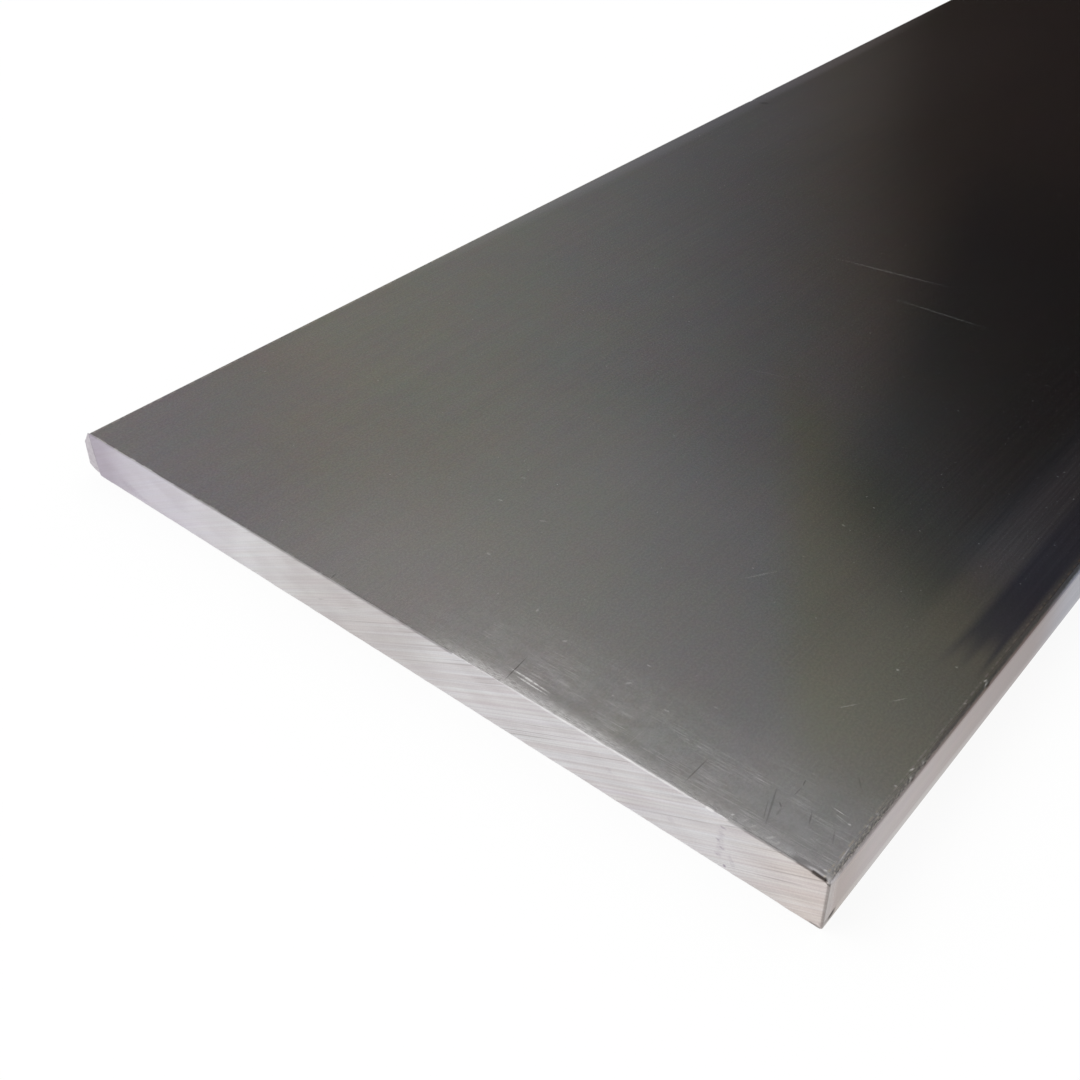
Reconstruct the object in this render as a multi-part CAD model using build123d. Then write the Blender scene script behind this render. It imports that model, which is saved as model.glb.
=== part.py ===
from build123d import *
import os

# Mill-finish aluminium flat bar, 6 in x 3/8 in, sawn to a 24 in length.
# The width lies along X and the length along Y, with the knocked end at -Y. The bar lies flat,
# with its underside on Z = 0, and the origin is the middle of the underside.

INCH = 25.4

# Driving dimensions, in millimetres
BAR_WIDTH = 6.0 * INCH
BAR_THICKNESS = 0.375 * INCH
BAR_LENGTH = 24.0 * INCH
ARRIS_RADIUS = 0.8       # rounding of the two upper long edges, which handling has eased
FOOT_ARRIS_RADIUS = 0.3  # rounding that the die leaves, kept by the two long edges that the bar lies on
END_BREAK = 0.15         # chamfer where a file has taken the sharpness off the sawn edges
TOP_KNOCK_REACH = 1.6    # how far a blow took the top right corner of the front end back along each edge
FOOT_KNOCK_REACH = 0.6   # the same for the bottom right corner, which is only blunted


def bar_section():
    """The outline: a rectangle standing on Z = 0 in the XZ plane, with its upper corners rounded more
    than its lower ones."""
    outline = Rectangle(BAR_WIDTH, BAR_THICKNESS, align=(Align.CENTER, Align.MIN))
    outline = fillet(outline.vertices().group_by(Axis.Y)[-1], ARRIS_RADIUS)
    outline = fillet(outline.vertices().group_by(Axis.Y)[0], FOOT_ARRIS_RADIUS)
    return Plane.XZ * outline


def sawn_length():
    """The outline carried along the length, with the edges of both sawn ends broken."""
    blank = extrude(bar_section(), BAR_LENGTH / 2, both=True)
    sawn_faces = blank.faces().filter_by(Axis.Y)
    return chamfer(sawn_faces.edges(), END_BREAK)


def knock_off(bar, corner, inward, reach):
    """The bar without the pyramid at a corner whose three edges are cut at the same reach.

    The corner is a point, and inward is the diagonal that points from it into the metal, with a
    part of 1 along each edge. The cut's middle lies a third of the reach along each of them.
    """
    bruise = Plane(origin=corner + inward * (reach / 3), z_dir=inward)
    return split(bar, bisect_by=bruise, keep=Keep.TOP)


front_right = Vector(BAR_WIDTH / 2, -BAR_LENGTH / 2, 0)
top_of_bar = Vector(0, 0, BAR_THICKNESS)

flat_bar = sawn_length()
flat_bar = knock_off(flat_bar, front_right + top_of_bar, Vector(-1, 1, -1), TOP_KNOCK_REACH)
flat_bar = knock_off(flat_bar, front_right, Vector(-1, 1, 1), FOOT_KNOCK_REACH)

os.makedirs("parts", exist_ok=True)
export_step(flat_bar, "parts/flat_bar.step")
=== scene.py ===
"""A mill-finish aluminium flat bar, saw-cut at both ends, lying on a pale studio floor.

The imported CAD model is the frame. The visible bar is one closed skin that stands for the CAD bar: rounded
arrises, two saw-cut ends with their marks, the saw's burr and a few knocks. A thin leaf of burr hangs on
the left edge of the front cut. The shape functions work in millimetres, x and y from the middle of the bar
and z from the middle of its thickness, and the meshes are written in metres.
"""

from functools import partial
from types import SimpleNamespace

import bpy
import numpy as np
from bpy.props import FloatProperty, FloatVectorProperty, PointerProperty
from mathutils import Matrix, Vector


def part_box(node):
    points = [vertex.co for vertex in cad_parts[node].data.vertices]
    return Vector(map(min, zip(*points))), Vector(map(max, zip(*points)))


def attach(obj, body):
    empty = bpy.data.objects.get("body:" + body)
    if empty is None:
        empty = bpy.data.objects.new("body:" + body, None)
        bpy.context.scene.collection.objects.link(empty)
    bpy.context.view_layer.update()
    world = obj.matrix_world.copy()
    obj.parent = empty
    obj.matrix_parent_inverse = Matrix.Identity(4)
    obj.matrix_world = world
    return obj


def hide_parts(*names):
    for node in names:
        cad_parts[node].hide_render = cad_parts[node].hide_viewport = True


bl_info = {
    "name": "Mill-finish flat bar",
    "version": (1, 0, 0),
    "blender": (4, 5, 0),
    "location": "View3D > Sidebar > Flat bar",
    "description": "Builds a saw-cut extruded flat bar and the pale studio it lies in",
    "category": "Object",
}

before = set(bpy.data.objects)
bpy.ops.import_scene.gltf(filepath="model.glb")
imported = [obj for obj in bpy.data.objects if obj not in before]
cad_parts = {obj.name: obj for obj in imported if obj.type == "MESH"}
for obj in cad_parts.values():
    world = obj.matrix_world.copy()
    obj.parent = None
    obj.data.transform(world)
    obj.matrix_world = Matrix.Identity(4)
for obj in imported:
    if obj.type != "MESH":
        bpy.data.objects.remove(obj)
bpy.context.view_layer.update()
BAR_LOW, BAR_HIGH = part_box("flat_bar")

MM = 0.001
WIDTH = (BAR_HIGH.x - BAR_LOW.x) / MM
LENGTH = (BAR_HIGH.y - BAR_LOW.y) / MM
THICKNESS = (BAR_HIGH.z - BAR_LOW.z) / MM
LEFT, RIGHT = -WIDTH / 2, WIDTH / 2
FRONT, BACK = -LENGTH / 2, LENGTH / 2
FOOT, TOP = -THICKNESS / 2, THICKNESS / 2


def linear(hex_code):
    """An sRGB hex colour as the linear red, green and blue that Blender works in."""
    srgb = np.array([int(hex_code[i:i + 2], 16) for i in (1, 3, 5)]) / 255
    return tuple(np.where(srgb <= 0.04045, srgb / 12.92, ((srgb + 0.055) / 1.055) ** 2.4).tolist())


# ---------------------------------------------------------------- what a user would change

class BarShape(bpy.types.PropertyGroup):
    """Sizes of the visible bar that the CAD box doesn't give."""

    arris: FloatProperty(
        name="Upper arris radius", description="Rounding of the two upper long edges",
        default=0.8 * MM, min=0.2 * MM, max=3 * MM, unit="LENGTH", subtype="DISTANCE")
    foot_arris: FloatProperty(
        name="Lower arris radius", description="Rounding that the die leaves on the two lower long edges",
        default=0.3 * MM, min=0.1 * MM, max=3 * MM, unit="LENGTH", subtype="DISTANCE")
    edge_break: FloatProperty(
        name="Sawn edge break", description="Width of the filed break round each sawn end",
        default=0.13 * MM, min=0.02 * MM, max=0.5 * MM, unit="LENGTH", subtype="DISTANCE")
    mark_angle: FloatProperty(
        name="Saw mark angle", description="Slope of the saw marks on the ends, rising to the right",
        default=float(np.radians(27.5)), min=0, max=1.5, unit="ROTATION", subtype="ANGLE")
    mark_depth: FloatProperty(
        name="Saw mark depth", description="Depth of the ridges that the saw leaves on the ends",
        default=0.004 * MM, min=0, max=0.2 * MM, unit="LENGTH", subtype="DISTANCE")
    burr_height: FloatProperty(
        name="Burr height", description="How far the saw burr stands above the top face",
        default=0.03 * MM, min=0, max=0.5 * MM, unit="LENGTH", subtype="DISTANCE")
    exit_burr: FloatProperty(
        name="Exit burr width",
        description="How far the leaf of burr stands out where the blade left the bar",
        default=3.2 * MM, min=0.3 * MM, max=4 * MM, unit="LENGTH", subtype="DISTANCE")


class BarFinish(bpy.types.PropertyGroup):
    """Colours of the bar's metal."""

    mill: FloatVectorProperty(
        name="Mill face", description="Extruded aluminium as the mill leaves it",
        default=linear("#BFBDBA"), size=3, min=0, max=1, subtype="COLOR")
    stain: FloatVectorProperty(
        name="Dark strip",
        description="Tint of the blue-grey film dragged along the face near the right edge",
        default=linear("#B9BED4"), size=3, min=0, max=1, subtype="COLOR")
    # Also the colour of the painted highlight along the left upper edge
    haze: FloatVectorProperty(
        name="Haze", description="Pale scuffing near the sawn ends",
        default=linear("#E6E4EA"), size=3, min=0, max=1, subtype="COLOR")
    side: FloatVectorProperty(
        name="Side face", description="The narrow long faces, warmer than the wide ones",
        default=linear("#BCAEAA"), size=3, min=0, max=1, subtype="COLOR")
    sawn: FloatVectorProperty(
        name="Sawn end", description="Metal freshly cut by the saw, towards the left",
        default=linear("#D4D0D8"), size=3, min=0, max=1, subtype="COLOR")
    sawn_dull: FloatVectorProperty(
        name="Sawn end, middle", description="The same cut where it has dulled a little",
        default=linear("#E0DFE0"), size=3, min=0, max=1, subtype="COLOR")
    sawn_warm: FloatVectorProperty(
        name="Sawn end, right",
        description="The same cut towards the right, where hands have warmed its tone",
        default=linear("#E1DAD5"), size=3, min=0, max=1, subtype="COLOR")
    groove: FloatVectorProperty(
        name="Saw groove", description="Bottom of the deeper saw marks, where swarf and shade sit",
        default=linear("#99918F"), size=3, min=0, max=1, subtype="COLOR")
    smudge: FloatVectorProperty(
        name="Smudge", description="Greasy finger mark on the sawn end",
        default=linear("#948699"), size=3, min=0, max=1, subtype="COLOR")
    # Also the colour of the painted highlight at the foot of the front's right corner
    burr: FloatVectorProperty(
        name="Burr", description="Torn bright metal on edges and in fresh scratches",
        default=linear("#EDEBEB"), size=3, min=0, max=1, subtype="COLOR")
    leaf: FloatVectorProperty(
        name="Exit burr", description="Metal smeared off the cut into the leaf of burr",
        default=linear("#CDC8CD"), size=3, min=0, max=1, subtype="COLOR")
    # Dirt, and painted shade along the front cut's edges and corners, in one colour
    grime: FloatVectorProperty(
        name="Grime", description="Dirt and shade in knocks and old scratches",
        default=linear("#3D3633"), size=3, min=0, max=1, subtype="COLOR")


# ---------------------------------------------------------------- shapes as arrays

def wander(t, step, seed):
    """Smooth random values from -1 to 1 along t. A random height stands at every step, and a point blends
    the two beside it by 3s^2 - 2s^3 of its share s of the way between them."""
    cell = np.floor(t / step).astype(int)
    share = t / step - cell
    share = share * share * (3 - 2 * share)
    heights = np.random.default_rng(seed).uniform(-1, 1, 4096)
    low = heights[cell % len(heights)]
    return low + (heights[(cell + 1) % len(heights)] - low) * share


def fade(t, full, none):
    """1 up to full, 0 from none on, and 3s^2 - 2s^3 between them."""
    share = np.clip((t - none) / (full - none), 0, 1)
    return share * share * (3 - 2 * share)


def graded(low, high, spacing, places=(), fine=1.0, reach=1.0):
    """Grid lines from low to high: spacing apart, and fine apart near the places. The lines per millimetre
    are 1/spacing, or 1/fine times a bell of width reach at a place where that is more. Their sum along the
    way is cut into equal parts."""
    t = np.linspace(low, high, 8001)
    density = np.full_like(t, 1 / spacing)
    for place in places:
        density = np.maximum(density, np.exp(-((t - place) / reach) ** 2) / fine)
    total = np.concatenate([[0], np.cumsum((density[1:] + density[:-1]) / 2 * np.diff(t))])
    return np.interp(np.linspace(0, total[-1], int(np.ceil(total[-1])) + 1), total, t)


def section_lines(half, low_arrises, high_arrises, flat):
    """Grid lines across one side of the section: the given ones on the flat, and at each end, for each
    arris radius that meets it, the end less the radius times 1 - tan(45 degrees x k/4), which makes equal
    steps round the arc."""
    insets = 1 - np.tan(np.radians(45) * np.arange(5) / 4)
    low = [-half + radius * insets for radius in low_arrises]
    high = [half - radius * insets for radius in high_arrises]
    return np.unique(np.round(np.concatenate([*low, flat, *high]), 4))


def rounded(across, up, arris, foot_arris):
    """The grid across x up with its corner squares bent into quarter discs: measured from its arc's centre,
    a point (a, b) moves to (a, b) times the larger of a and b over the length of (a, b)."""
    x, z = np.meshgrid(across, up, indexing="ij")
    radius = np.where(z < 0, foot_arris, arris)
    a = np.maximum(np.abs(x) - (RIGHT - radius), 0)
    b = np.maximum(np.abs(z) - (TOP - radius), 0)
    pull = np.where((a > 0) & (b > 0), np.maximum(a, b) / np.maximum(np.hypot(a, b), 1e-9), 1)
    return x + np.sign(x) * a * (pull - 1), z + np.sign(z) * b * (pull - 1)


def rim(grid):
    """The outline of a grid of indices or values, anticlockwise from its first corner."""
    return np.concatenate([grid[:-1, 0], grid[-1, :-1], grid[:0:-1, -1], grid[0, :0:-1]])


def loop_lengths(x, z):
    """Distance round a closed outline at each of its points, and on from each to the next."""
    steps = np.hypot(np.roll(x, -1) - x, np.roll(z, -1) - z)
    return np.concatenate([[0], np.cumsum(steps)[:-1]]), steps


def band(near, far):
    """Quads between two outlines with as many points, near before far along the bar."""
    return np.stack([near, far, np.roll(far, -1), np.roll(near, -1)], 1)


def zip_loops(near, near_at, near_step, far, far_at, far_step):
    """Triangles between two outlines with different numbers of points. Every edge of either outline is one
    triangle, in the order of the edges' middles round the section, and it starts from as many points on in
    each outline as edges of it were taken before."""
    middles = np.concatenate([near_at + near_step / 2, far_at + far_step / 2])
    from_near = np.concatenate([np.ones(len(near), int), np.zeros(len(far), int)])
    from_near = from_near[np.argsort(middles, kind="stable")]
    taken_near = np.cumsum(from_near) - from_near
    taken_far = np.cumsum(1 - from_near) - (1 - from_near)
    a = near[taken_near % len(near)]
    b = far[taken_far % len(far)]
    third = np.where(from_near == 1, near[(taken_near + 1) % len(near)], far[(taken_far + 1) % len(far)])
    return np.stack([a, b, third], 1)


def pull_in(x, z, amount, over=1.2):
    """Points near the section's outline move inwards by amount times (1 - depth/over)^2, and none beyond
    the depth over."""
    sideways = np.clip(1 - (RIGHT - np.abs(x)) / over, 0, 1) ** 2
    upwards = np.clip(1 - (TOP - np.abs(z)) / over, 0, 1) ** 2
    return x - np.sign(x) * amount * sideways, z - np.sign(z) * amount * upwards


def press(points, centre, reach, push):
    """Points near centre move by push times (1 - d^2)^2, where d is their distance from it over reach,
    which may differ along x, y and z."""
    d = np.sum(((points - np.array(centre)) / np.array(reach)) ** 2, 1)
    return points + np.clip(1 - d, 0, 1)[:, None] ** 2 * np.array(push)


def knock_flat(points, corner, inward, depth, soft, seed):
    """A corner knocked off: what lies beyond a plane square to inward, at depth inside the corner, is
    pressed back to it, with a soft step as wide as soft and a slightly uneven face."""
    inward = np.array(inward) / np.linalg.norm(inward)
    uneven = 0.15 * depth * wander(points[:, 0] * 1.3 + points[:, 2] * 2.1, 0.5, seed)
    beyond = depth + uneven - (points - np.array(corner)) @ inward
    moved = soft * np.logaddexp(0, beyond / soft)
    near = np.linalg.norm(points - np.array(corner), axis=1) < 4
    return points + (moved * near)[:, None] * inward


def near_line(points, start, end, reach):
    """1 within 0.4 of reach from the line between start and end, falling smoothly to 0 at reach."""
    start, along = np.array(start), np.array(end) - np.array(start)
    share = np.clip((points - start) @ along / (along @ along), 0, 1)
    distance = np.linalg.norm(points - start - share[:, None] * along, axis=1)
    return fade(distance, 0.4 * reach, reach)


# The outlines behind an end: the turns of the edge break's quarter round, and how many of them the saw cut
BREAK_TURNS = np.radians([30, 60, 90])
SAWN_ROWS = 2
# How far behind the end the further ones stand, and the long faces' first one, in mm
ROW_DEPTHS = (0.22, 0.34, 0.5, 0.75, 1.1, 1.6, 2.3, 3.2, 4.3)
LONG_FACES_FROM = 6
# For each end, which way it faces along y, its seed, and the size of its cells across and up, in mm
FRONT_END, BACK_END = (-1, 7, 0.3, 0.18), (1, 19, 0.5, 0.3)
# Dents on the right upper arris: how far from the front, and their size
NICKS = ((41.5, 0.4), (36.2, 0.25), (23.4, 0.25), (20.1, 0.3), (96.0, 0.3), (171.0, 0.4), (402.0, 0.5),
         (538.0, 0.4))
# How far from the front a very shallow dent lies on the left upper arris
LEFT_DENT = 216.0
# Depth, softness and seed of the knocks on the front's right corners, above and at the foot
TOP_KNOCK, FOOT_KNOCK = (0.75, 0.12, 5), (0.2, 0.05, 6)
# Where dirt and painted shade sit, along the front cut's edges, under the burr's lip and round its right
# foot: from, to, reach and strength
DIRT_AND_SHADE_LINES = (
    ((RIGHT, FRONT, TOP - 0.8), (RIGHT, FRONT, FOOT + 0.6), 0.42, 0.5),
    ((RIGHT, FRONT + 0.8, TOP - 1.2), (RIGHT, FRONT + 0.8, FOOT + 0.8), 0.7, 0.12),
    ((RIGHT - 2.4, FRONT, TOP - 0.1), (RIGHT - 0.6, FRONT, TOP - 0.25), 0.42, 0.95),
    ((RIGHT - 4.4, FRONT, TOP), (RIGHT - 2.4, FRONT, TOP - 0.05), 0.3, 0.7),
    ((RIGHT - 14, FRONT, TOP), (RIGHT - 4.4, FRONT, TOP), 0.36, 0.5),
    ((RIGHT, FRONT + 0.3, FOOT + 1.0), (RIGHT, FRONT + 2.4, FOOT + 1.0), 0.75, 0.42),
    ((RIGHT, FRONT + 1.7, FOOT + 1.1), (RIGHT, FRONT + 2.3, FOOT + 1.3), 0.6, 0.9),
    ((RIGHT - 5.0, FRONT + 0.4, TOP), (RIGHT - 1.2, FRONT + 0.6, TOP), 0.55, 0.4),
    ((RIGHT - 1.6, FRONT, FOOT + 0.25), (RIGHT - 0.4, FRONT, FOOT + 0.3), 0.3, 0.5),
    ((LEFT, FRONT, TOP - 0.4), (LEFT, FRONT, FOOT + 2.6), 0.34, 0.5),
    ((LEFT, FRONT, TOP - 0.05), (-50, FRONT, TOP - 0.05), 0.36, 0.26),
    ((-50, FRONT, TOP - 0.05), (15, FRONT, TOP - 0.05), 0.36, 0.45),
)
# The leaf of exit burr: how far it reaches into the bar, and half its thickness
BURR_ROOT = 0.2
BURR_HALF = 0.10


def saw_relief(x, z, shape, seed):
    """How deep the saw cut below the end's highest ridges, in mm: a wander square to the marks at two
    spacings, times a slow one along them, so that ridges come and go."""
    angle = shape.mark_angle
    square = z * np.cos(angle) - x * np.sin(angle)
    along = x * np.cos(angle) + z * np.sin(angle)
    ridges = 0.6 * wander(square + 0.05 * wander(along, 9, seed + 1), 0.42, seed)
    ridges = ridges * (0.75 + 0.25 * wander(along, 14, seed + 2)) + 0.4 * wander(square, 1.7, seed + 3)
    return shape.mark_depth / MM * (1 - ridges)


def edge_wear(x, z, seed):
    """How much of the edge break each place round the end has, about 1."""
    return 1 + 0.45 * wander(x + 3 * z, 1.9, seed) + 0.25 * wander(x - 2 * z, 0.5, seed + 1)


def burr_along(x):
    """How strong the saw's burr is along the top edge, 0 to 1: a line from an eighth of the width right of
    the middle to three eighths, torn flecks beyond it, and a trace of it now and then on the left."""
    line = 0.75 + 0.25 * wander(x, 1.1, 41) + 0.2 * wander(x, 0.45, 42)
    line = fade(np.abs(x - 37.8), 17.3, 19.4) * line
    flecks = fade(np.abs(x - 61), 2.6, 3.8) * (wander(x, 0.55, 43) > 0.1)
    trace = 0.3 * fade(x, 12, 18) * (wander(x, 1.3, 44) > 0.45)
    return np.clip(line * fade(-x, -35, -24) ** 0.5 + flecks + trace, 0, 1)


def section_grid(shape, across, places, fine, reach, up):
    """A grid over the rounded section, with cells of about across by up, and narrower at the places."""
    arris, foot_arris = shape.arris / MM, shape.foot_arris / MM
    both = (arris, foot_arris)
    flat = RIGHT - max(both)
    x = section_lines(RIGHT, both, both, graded(-flat, flat, across, places, fine, reach))
    z = section_lines(TOP, (foot_arris,), (arris,), graded(foot_arris + FOOT, TOP - arris, up))
    return rounded(x, z, arris, foot_arris)


def sawn_end(shape, end, seed, cell_across, cell_up, first):
    """One end: a grid over the section, its edge broken by a quarter round, then outlines further and
    further back. Gives its points, numbered from first, its quads, 1 for each quad that was sawn, and its
    last outline with the distances round it."""
    fine_x, fine_z = section_grid(shape, cell_across, (RIGHT, LEFT), 0.14, 2.2, cell_up)
    relief = saw_relief(end * -fine_x, fine_z, shape, seed)
    wear = shape.edge_break / MM * edge_wear(fine_x, fine_z, seed + 50)
    x, z = pull_in(fine_x, fine_z, wear)
    points = [np.stack([x, end * (BACK - relief), z], -1).reshape(-1, 3)]
    grid = first + np.arange(x.size).reshape(x.shape)
    face = np.stack([grid[:-1, :-1], grid[1:, :-1], grid[1:, 1:], grid[:-1, 1:]], -1).reshape(-1, 4)
    quads = [face if end < 0 else face[:, ::-1]]
    sawn = [np.ones(len(face), int)]

    last = rim(grid)
    rim_x, rim_z, rim_wear, rim_relief = (rim(g) for g in (fine_x, fine_z, wear, relief))
    rows = [(rim_wear * (1 - np.sin(turn)), rim_wear * (1 - np.cos(turn))) for turn in BREAK_TURNS]
    rows += [(np.zeros_like(rim_wear), np.maximum(depth, rim_wear)) for depth in ROW_DEPTHS]
    for number, (inset, depth) in enumerate(rows):
        x, z = pull_in(rim_x, rim_z, inset)
        depth = depth + rim_relief * fade(depth, 0.0, 0.6)
        points.append(np.stack([x, end * (BACK - depth), z], -1))
        ring = first + grid.size + number * len(x) + np.arange(len(x))
        quads.append(band(last, ring) if end < 0 else band(ring, last))
        sawn.append(np.full(len(x), int(number < SAWN_ROWS)))
        last = ring
    outline = (last, *loop_lengths(rim_x, rim_z))
    return np.concatenate(points), np.concatenate(quads), np.concatenate(sawn), outline


def bar_skin_arrays(shape):
    """The whole skin: the two sawn ends, and between them the long faces, which are outlines of few points
    zipped to the ends' last ones."""
    front_points, front_quads, front_sawn, front_outline = sawn_end(shape, *FRONT_END, 0)
    back_points, back_quads, back_sawn, back_outline = sawn_end(shape, *BACK_END, len(front_points))
    first = len(front_points) + len(back_points)

    flat = RIGHT - max(shape.arris, shape.foot_arris) / MM
    x, z = (rim(g) for g in section_grid(shape, 11, (flat, -flat), 0.2, 1.2, 1.3))
    dents = [FRONT + place for place, _ in NICKS] + [FRONT + LEFT_DENT]
    stations = graded(FRONT + LONG_FACES_FROM, BACK - LONG_FACES_FROM, 14, dents, 0.35, 1.6)
    long_points = np.stack([np.tile(x, (len(stations), 1)), np.repeat(stations[:, None], len(x), 1),
                            np.tile(z, (len(stations), 1))], -1).reshape(-1, 3)
    rings = first + np.arange(len(long_points)).reshape(len(stations), -1)
    long_quads = [band(near, far) for near, far in zip(rings[:-1], rings[1:])]
    around = loop_lengths(x, z)
    triangles = np.concatenate([zip_loops(*front_outline, rings[0], *around),
                                zip_loops(rings[-1], *around, *back_outline)])

    quads = np.concatenate([front_quads, back_quads, *long_quads])
    sawn = np.concatenate([front_sawn, back_sawn])
    zone = np.concatenate([sawn, np.zeros(len(quads) + len(triangles) - len(sawn), int)])
    return np.concatenate([front_points, back_points, long_points]), quads, triangles, zone


def settle(points, shape):
    """The burr, knocks and nicks, each a smooth push on the points near it. Also gives each point its share
    of torn bright metal, with a painted highlight at the front's right foot, and of dirt and painted shade."""
    x, y, z = points.T
    from_front = y - FRONT
    burr = burr_along(x)
    top_edge = fade(np.abs(z - TOP), 0.05, 0.35) * fade(np.abs(x), RIGHT - 1.2, RIGHT - 0.5)
    lip = burr * top_edge * fade(np.abs(from_front - 0.1), 0.08, 0.8)
    torn = 0.9 * burr * top_edge * fade(from_front, 0.2, 0.42)

    marked = points
    points = points + lip[:, None] * np.array([0, -0.05, shape.burr_height / MM])
    for place, size in NICKS:
        dent = (RIGHT - 0.15, FRONT + place, TOP - 0.2)
        points = press(points, dent, (1.2 * size, size, 1.2 * size), (-0.4 * size, 0, -0.4 * size))
        above = (RIGHT - 0.5, dent[1] + 0.1, TOP)
        torn = np.maximum(torn, 0.5 * near_line(marked, dent, above, 0.6 * size))
    points = press(points, (LEFT, FRONT + LEFT_DENT, TOP), (1.5, 1.8, 1.5), (0.06, 0, -0.1))
    points = press(points, (RIGHT - 2.2, FRONT, TOP), (1.9, 0.6, 0.5), (0, 0.14, -0.16))
    points = knock_flat(points, (RIGHT, FRONT, TOP), (-1, 1, -1), *TOP_KNOCK)
    points = knock_flat(points, (RIGHT, FRONT, FOOT), (-1, 1, 1), *FOOT_KNOCK)

    # Dirt, and painted shade along the front cut's edges and corners
    grime = np.zeros(len(points))
    for start, end, reach, strength in DIRT_AND_SHADE_LINES:
        grime = np.maximum(grime, strength * near_line(marked, start, end, reach))
    # Painted highlight: the tip at the foot of the front's right corner is painted as torn bright metal
    torn = np.maximum(torn, near_line(marked, (RIGHT - 0.4, FRONT, FOOT), (RIGHT - 0.1, FRONT, FOOT), 0.35))
    return points, np.clip(torn, 0, 1), grime


def exit_burr_arrays(shape):
    """The leaf of burr that the blade left on the front cut's left edge. At the height s up the bar, as a
    share of its thickness, it stands out by the burr's width times the least of 0.98 - 0.36 s, (1 - s)/0.42
    and the root of (s - 0.06)/0.12. Its section is a lens: at the angle a round it, half the width times 1
    - cos a outwards and half the thickness times sin a along the bar, bent back by the square of how far
    out it is."""
    share, angle = np.meshgrid(np.linspace(0.062, 0.98, 64), np.linspace(0, 2 * np.pi, 16, endpoint=False),
                               indexing="ij")
    out = np.minimum(np.minimum(0.98 - 0.36 * share, np.sqrt((share - 0.06) / 0.12)), (1 - share) / 0.42)
    out = shape.exit_burr / MM * out * (1 + 0.012 * wander(share * 10, 0.7, 71)) + BURR_ROOT
    reach = out * (1 - np.cos(angle)) / 2
    thick = BURR_HALF * np.sin(angle) * np.minimum(out, 1)
    x = LEFT + BURR_ROOT - reach
    y = FRONT + 0.1 - thick + 0.004 * reach ** 2
    z = FOOT + share * THICKNESS
    index = np.arange(angle.size).reshape(angle.shape)
    walls = [band(low, high) for low, high in zip(index[:-1], index[1:])]
    faces = np.concatenate(walls).tolist() + [index[0].tolist(), index[-1, ::-1].tolist()]
    return np.stack([x, y, z], -1).reshape(-1, 3), faces


def closed_mesh(name, points, faces, zones=None, **attributes):
    """A smooth mesh object from points in mm, with a material zone per face and named values per point."""
    mesh = bpy.data.meshes.new(name)
    mesh.from_pydata((points * MM).tolist(), [], faces)
    if zones is not None:
        mesh.polygons.foreach_set("material_index", zones.astype(np.int32))
    mesh.polygons.foreach_set("use_smooth", np.ones(len(mesh.polygons), bool))
    for label, values in attributes.items():
        mesh.attributes.new(label, "FLOAT", "POINT").data.foreach_set("value", values.astype(np.float32))
    mesh.update()
    piece = bpy.data.objects.new(name, mesh)
    bpy.context.scene.collection.objects.link(piece)
    return piece


def in_frame(points):
    """Points measured from the bar's middle, moved to where the bar lies in the frame."""
    middle = (BAR_LOW + BAR_HIGH) / 2 / MM
    return points + np.array(middle)


# ---------------------------------------------------------------- finishes

SMOOTH = {"interpolation_type": "SMOOTHSTEP"}
WHITE = linear("#FFFFFF")


def colour(value):
    """A linear colour with its alpha."""
    return (*tuple(value)[:3], 1)


def add(tree, kind, inputs=(), **settings):
    """Adds one node: settings by name, and for each input a plain value, or the socket or the node (its
    first output) that it is linked from. A plain colour gets its alpha here."""
    made = tree.nodes.new("ShaderNode" + kind)
    for name, value in settings.items():
        setattr(made, name, value)
    for place, value in (inputs.items() if isinstance(inputs, dict) else enumerate(inputs)):
        if isinstance(value, bpy.types.Node):
            value = value.outputs[0]
        if isinstance(value, bpy.types.NodeSocket):
            tree.links.new(value, made.inputs[place])
        else:
            made.inputs[place].default_value = colour(value) if made.inputs[place].type == "RGBA" else value
    return made


def new_material(name):
    """An empty node material, and add() for its tree."""
    material = bpy.data.materials.new(name)
    material.use_nodes = True
    material.node_tree.nodes.clear()
    return material, partial(add, material.node_tree)


def places(node):
    """Where a point of the bar is, in mm: x, y, z, and the wrapping of the long faces, whose first number
    is x less z, so that a pattern runs on over the right arris, and whose second is y."""
    here = node("VectorMath", {0: node("TexCoord").outputs["Object"], 3: 1 / MM}, operation="SCALE")
    x, y, z = node("SeparateXYZ", [here]).outputs
    return x, y, z, node("CombineXYZ", [node("Math", [x, z], operation="SUBTRACT"), y])


def patches(node, place, across, along, low, high, full=1.0, none=0.0, turn=0.0, detail=0.0, shift=0.0):
    """Random patches, across by along mm in size and turned: none where a noise is under low, full where it
    is over high, and smooth between. Full may be another pattern, which shows through the patches."""
    laid = node("Mapping", {0: place, 1: (shift, shift, 0), 2: (0, 0, turn), 3: (across, along, 1)},
                vector_type="TEXTURE")
    noise = node("TexNoise", {"Vector": laid, "Scale": 1.0, "Detail": detail, "Roughness": 0.6},
                 noise_dimensions="2D")
    return node("MapRange", [noise, low, high, none, full], **SMOOTH)


def narrowed(node, mask, *ramps):
    """A mask narrowed by ramps in turn. A ramp is what it runs along, and where it is nothing and full."""
    for along, nothing, full in ramps:
        mask = node("MapRange", [along, nothing, full, 0, mask], **SMOOTH)
    return mask


def strongest(node, mask, *others):
    """The strongest of several masks at each place."""
    for other in others:
        mask = node("Math", [mask, other], operation="MAXIMUM")
    return mask


def drift(node, place, across, along, amount, turn=0.0):
    """A tint a little under white, whose red, green and blue each wander over the given amount."""
    laid = node("Mapping", {0: place, 2: (0, 0, turn), 3: (across, along, 1)}, vector_type="TEXTURE")
    noise = node("TexNoise", {"Vector": laid, "Scale": 1.0, "Detail": 1.0}, noise_dimensions="2D")
    return coats(node, WHITE, (amount, noise.outputs["Color"], "MIX"))


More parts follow.
